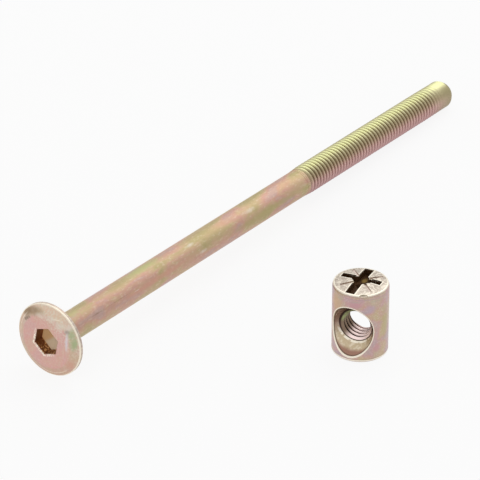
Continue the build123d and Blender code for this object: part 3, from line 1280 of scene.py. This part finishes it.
    def cover_side(self, coat: Coat) -> None:
        """Lays the film, the bands under the top and the patches on the side, and along the foot a dark line
        and a cream painted reflection.
        """
        desk, up = coat.desk, coat.up
        coat.colour = coat.film((0.2, 0.2, 0.14), shift=0.3)
        coat.lay(desk.ramp(coat.flecks(0.35, 4, low=0.3, high=0.7, distortion=0.6), NUT_SIDE), 0.65)
        coat.lay(PALE, coat.flecks(3.0, 4, low=0.45, high=0.7), 0.22)
        patchy = coat.flecks(0.5, 4, low=0.4, high=0.6)
        coat.lay(BAND_GREEN, desk.between(up, 12.95, 13.1, soft=0.2), patchy, 0.8)
        coat.lay(BAND_MAUVE, desk.between(up, 13.5, 13.6, soft=0.12), 0.6)
        coat.stain(self.patches)
        coat.lay(DARK_MARK_AND_SHADE, desk.between(up, 0.55, 0.62, soft=0.08), 0.35)
        # A cream painted reflection along the foot
        coat.lay(CREAM_HIGHLIGHT, coat.highlight_line(desk.apart(up, 0.3), width=0.34, broken=0.4), 0.85)

    def cover_top(self, coat: Coat, out: Socket) -> None:
        """Lays silver on the top with a mottled painted highlight, a painted highlight on the rim and along
        the slot edges, and pinkish tick marks.
        """
        desk, up = coat.desk, coat.up
        # Painted highlight: frost streaks over the silver top
        frost_highlight = coat.flecks(1.1, 5, low=0.4, high=0.65, distortion=1.5)
        bevel = self.shoulder - self.bevel_height
        silver = desk.blend(desk.times(frost_highlight, 0.8), NUT_TOP, FROST_HIGHLIGHT)
        coat.lay(silver, desk.ease(up, bevel + 0.2, bevel + 0.5))
        from_rim = desk.distance(
            desk.minus(out, self.radius - self.bevel_depth), desk.minus(up, self.shoulder)
        )
        coat.lay(CREAM_HIGHLIGHT, coat.highlight_line(from_rim, width=0.3, broken=0.5), 0.9)
        floor = self.height - self.tick_depth
        tick = desk.between(up, floor - 0.02, floor + 0.02, soft=0.01)
        coat.lay(TICK_ROSE, tick, desk.ease(out, 4.75, 4.7), 0.8)
        gaps = []
        for (length, width), offset in ((self.wide_slot, 0.0), (self.cross_slot, self.cross_slot_offset)):
            ahead = desk.minus(desk.apart(coat.along, offset), length / 2)
            beside = desk.minus(desk.apart(coat.aside, self.slot_aside), width / 2)
            gaps.append(desk.greater(ahead, beside))
        # Painted highlight in cream along the slot edges
        edge = coat.highlight_line(desk.math("MINIMUM", *gaps), width=0.26, broken=0.7)
        on_top = desk.times(desk.ease(up, self.height - 0.5, self.height - 0.3), desk.ease(out, 5.2, 5.0))
        coat.lay(CREAM_HIGHLIGHT, edge, on_top, 0.85)

    def mouth_light_colour(self, coat: Coat, out: Socket, level: Socket, away: Socket) -> Socket:
        """Colours the mouths with painted light: brown painted shade at the top, gold by the thread with a
        painted highlight ring, reddish at the bottom edge, rose painted reflections on the upper left and
        dark painted shade inside the rim.

        Args:
            coat: The nut's finish.
            out: Distance from the nut's axis.
            level: Height above the bore's axis.
            away: Distance from the bore's axis.

        Returns:
            The colour.
        """
        desk = coat.desk
        colour = desk.blend(coat.flecks(1.3, 3, low=0.45, high=0.65), MOUTH_GOLD, MOUTH_SAND)
        # Painted highlight ring by the thread
        ring_highlight = desk.times(desk.between(away, 3.42, 3.6, soft=0.1), coat.flecks(1.8, 3, low=0.4, high=0.52))
        colour = desk.blend(desk.times(ring_highlight, 0.9), colour, CREAM_HIGHLIGHT)
        colour = desk.blend(desk.ease(away, 4.2, 4.7), colour, MOUTH_RED)
        colour = desk.blend(desk.ease(level, -2.6, 0.4), colour, MOUTH_SHADE_BROWN)
        upper_left = desk.times(desk.ease(level, 0.3, 1.2), desk.ease(coat.aside, -0.5, 1.0), 0.7)
        for circle in (4.0, 4.4):
            arc = desk.between(away, circle, circle + 0.06, soft=0.06)
            colour = desk.blend(desk.times(arc, upper_left), colour, MOUTH_ROSE_REFLECTION)
        shade = desk.between(out, self.radius - 0.42, self.radius - 0.2, soft=0.06)
        return desk.blend(desk.times(shade, 0.8), colour, DARK_MARK_AND_SHADE)

    def bore_colour(self, coat: Coat, level: Socket, away: Socket, reach: Socket) -> Socket:
        """Colours the thread in the bore: rosy painted light where lit, brown and green above, and dark
        painted shade in its grooves.

        Args:
            coat: The nut's finish.
            level: Height above the bore's axis.
            away: Distance from the bore's axis.
            reach: Distance outwards from the mouths' floors.

        Returns:
            The colour.
        """
        desk = coat.desk
        unlit = desk.blend(desk.ease(level, -0.3, 0.8), BORE_BROWN, BORE_GREEN)
        rise = 0.6
        middle = rise * self.bore_height
        lit = desk.ease(coat.toward((0, 1, rise)), middle + 1.2, middle - 1.0)
        turn = desk.math("DIVIDE", desk.math("ARCTAN2", coat.aside, desk.times(level, -1.0)), FULL_TURN)
        winding = desk.minus(desk.math("DIVIDE", coat.along, self.thread.pitch), turn)
        groove = desk.ease(desk.math("COSINE", desk.times(winding, FULL_TURN)), 0.5, -0.45)
        root = self.bore_radius + self.thread.depth
        # Painted shade in the grooves
        groove_shade = desk.greater(groove, desk.ease(away, root, root + 0.05))
        deep = desk.ease(away, self.bore_radius + 0.12, self.bore_radius + self.thread.depth * 0.75)
        groove_shade = desk.greater(groove_shade, desk.times(deep, desk.ease(reach, -0.4, -0.5)))
        return desk.blend(groove_shade, desk.blend(lit, unlit, BORE_CREST_HIGHLIGHT), BORE_ROOT_SHADE)

    def build(self) -> Piece:
        """Makes the whole nut and sets it in its place, from millimetres to metres."""
        piece = self.blank()
        self.sink_mouths(piece)
        self.tap_bore(piece)
        self.punch_recess(piece)
        self.strike_nick(piece)
        Bench.smooth(piece)
        Bench.move(piece, self.frame() @ Matrix.Scale(MILLIMETRE, 4))
        return piece


@dataclass
class Studio:
    """A white table with a low grey wall round it, a soft lamp and the camera."""

    aim: Point = (-0.0046237, 0.0202925, 0.0)
    heading: float = 36.4223
    pitch: float = 30.3102
    distance: float = 0.7243338
    lens: float = 276.179
    sensor: float = 36.0
    nearest: float = 0.01
    floor_size: float = 4.0
    floor_grey: float = 0.9
    floor_glow: float = 0.88
    wall_radius: float = 1.6
    wall_height: float = 0.55
    wall_sides: int = 64
    wall_grey: float = 0.78
    sky_light: float = 0.7
    sky_seen: float = 1.0
    lamp_place: Point = (0.35, 0.05, 0.55)
    lamp_size: float = 0.6
    lamp_power: float = 0.8

    def camera(self) -> None:
        """Sets the camera at the photograph's angle."""
        turn, down = math.radians(self.heading), math.radians(self.pitch)
        level = math.cos(down)
        view = Vector((math.cos(turn) * level, math.sin(turn) * level, -math.sin(down)))
        data = bpy.data.cameras.new("camera")
        data.lens = self.lens
        data.sensor_width = self.sensor
        data.clip_start = self.nearest
        camera = bpy.data.objects.new("camera", data)
        camera.location = Vector(self.aim) - view * self.distance
        camera.rotation_euler = view.to_track_quat("-Z", "Y").to_euler()
        bpy.context.collection.objects.link(camera)
        bpy.context.scene.camera = camera

    def floor(self) -> None:
        """Makes the white table."""
        bpy.ops.mesh.primitive_plane_add(size=self.floor_size)
        floor = Bench.fresh("floor")
        tree = bare_material(floor, "white_table")
        paint = light_node(tree, "ShaderNodeBsdfDiffuse", self.floor_grey)
        ring_highlight = light_node(tree, "ShaderNodeEmission", 1.0)
        show(tree, mix_if_seen(tree, self.floor_glow, paint, ring_highlight))

    def wall(self) -> None:
        """Stands a low grey wall round the table, which only the metal mirrors."""
        bpy.ops.mesh.primitive_cylinder_add(
            vertices=self.wall_sides,
            radius=self.wall_radius,
            depth=self.wall_height,
            end_fill_type="NOTHING",
            location=(0, 0, self.wall_height / 2),
        )
        wall = Bench.fresh("wall")
        wall.visible_camera = False
        wall.visible_shadow = False
        wall.visible_diffuse = False
        tree = bare_material(wall, "grey_wall")
        show(tree, light_node(tree, "ShaderNodeEmission", self.wall_grey))

    def world(self) -> None:
        """Lights the scene softly all round, with a plain white sky behind it."""
        world = bpy.data.worlds.new("studio")
        bpy.context.scene.world = world
        world.use_nodes = True
        tree = world.node_tree
        tree.nodes.clear()
        tree.nodes.new("ShaderNodeOutputWorld").name = "World Output"
        skies = []
        for strength in (self.sky_light, self.sky_seen):
            sky = light_node(tree, "ShaderNodeBackground", 1.0)
            sky.node.inputs["Strength"].default_value = strength
            skies.append(sky)
        show(tree, mix_if_seen(tree, 1.0, *skies))

    def lamp(self) -> None:
        """Adds a soft square lamp that faces the object."""
        data = bpy.data.lights.new("key_lamp", "AREA")
        data.size = self.lamp_size
        data.energy = self.lamp_power
        lamp = bpy.data.objects.new("key_lamp", data)
        lamp.location = self.lamp_place
        facing = Vector(self.aim) - Vector(self.lamp_place)
        lamp.rotation_euler = facing.to_track_quat("-Z", "Y").to_euler()
        bpy.context.collection.objects.link(lamp)

    def build(self) -> None:
        """Sets up the whole studio."""
        self.camera()
        self.floor()
        self.wall()
        self.world()
        self.lamp()
        bpy.context.scene.view_settings.view_transform = "Standard"


def bare_material(piece: Piece, name: str) -> bpy.types.NodeTree:
    """Gives a piece a new material without a shader and returns its nodes."""
    material = bpy.data.materials.new(name)
    material.use_nodes = True
    material.node_tree.nodes.remove(material.node_tree.nodes["Principled BSDF"])
    piece.data.materials.append(material)
    return material.node_tree


def light_node(tree: bpy.types.NodeTree, kind: str, grey: float) -> Socket:
    """Adds a shader of one kind in one grey."""
    node = tree.nodes.new(kind)
    node.inputs["Color"].default_value = (grey, grey, grey, 1.0)
    return node.outputs[0]


def mix_if_seen(tree: bpy.types.NodeTree, share: float, unseen: Socket, seen: Socket) -> Socket:
    """Mixes two shaders by whether the camera sees the surface, itself or mirrored in metal.

    Args:
        tree: The nodes of the material or world.
        share: How much of the second shader such rays meet; all other rays meet the first.
        unseen: The first shader.
        seen: The second shader.

    Returns:
        The mixed shader.
    """
    desk = NodeDesk(tree)
    path = tree.nodes.new("ShaderNodeLightPath").outputs
    direct = desk.greater(path["Is Camera Ray"], path["Is Glossy Ray"])
    mix = tree.nodes.new("ShaderNodeMixShader")
    desk.feed(mix.inputs[0], desk.times(desk.greater(direct, path["Is Transmission Ray"]), share))
    desk.feed(mix.inputs[1], unseen)
    desk.feed(mix.inputs[2], seen)
    return mix.outputs[0]


def show(tree: bpy.types.NodeTree, shader: Socket) -> None:
    """Links a shader to the output of its material or world."""
    output = next(node for node in tree.nodes if node.name.endswith("Output"))
    tree.links.new(shader, output.inputs["Surface"])


def finish_piece(piece: Piece, node: str, material: bpy.types.Material) -> None:
    """Dresses a finished piece and lets it stand for its plain solid."""
    piece.data.materials.clear()
    piece.data.materials.append(material)
    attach(piece, "root")
    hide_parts(node)
    LOG.info("%s: %d faces, stands for %s", piece.name, len(piece.data.polygons), node)


def main() -> None:
    """Builds the studio, the bolt and the nut in order."""
    logging.basicConfig(level=logging.INFO, format="%(message)s")
    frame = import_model()
    mount = {mount["name"]: mount for mount in frame["record"]["mounts"]}
    Studio().build()
    effects = Effects()
    thread = Thread()
    bolt = Bolt(
        thread=thread,
        face=Vector(mount["hex_drive"]["pos_m"]),
        direction=-Vector(mount["hex_drive"]["axis"]).normalized(),
        crest_radius=mount["bolt_thread"]["dims"]["r_mm"],
        patches=HEAD_PATCHES + SHANK_PATCHES,
    )
    finish_piece(bolt.build(), "bolt", bolt.dress(effects))
    nut = BarrelNut(
        thread=thread,
        foot=Vector(mount["nut_base"]["pos_m"]),
        bore_direction=-Vector(mount["nut_thread"]["axis"]).normalized(),
        bore_height=mount["nut_thread"]["pos_m"][2] / MILLIMETRE,
        bore_radius=mount["nut_thread"]["dims"]["r_mm"],
        patches=NUT_PATCHES,
        marks=NUT_MARKS,
    )
    finish_piece(nut.build(), "barrel_nut", nut.dress(effects))


if __name__ == "__main__":
    main()
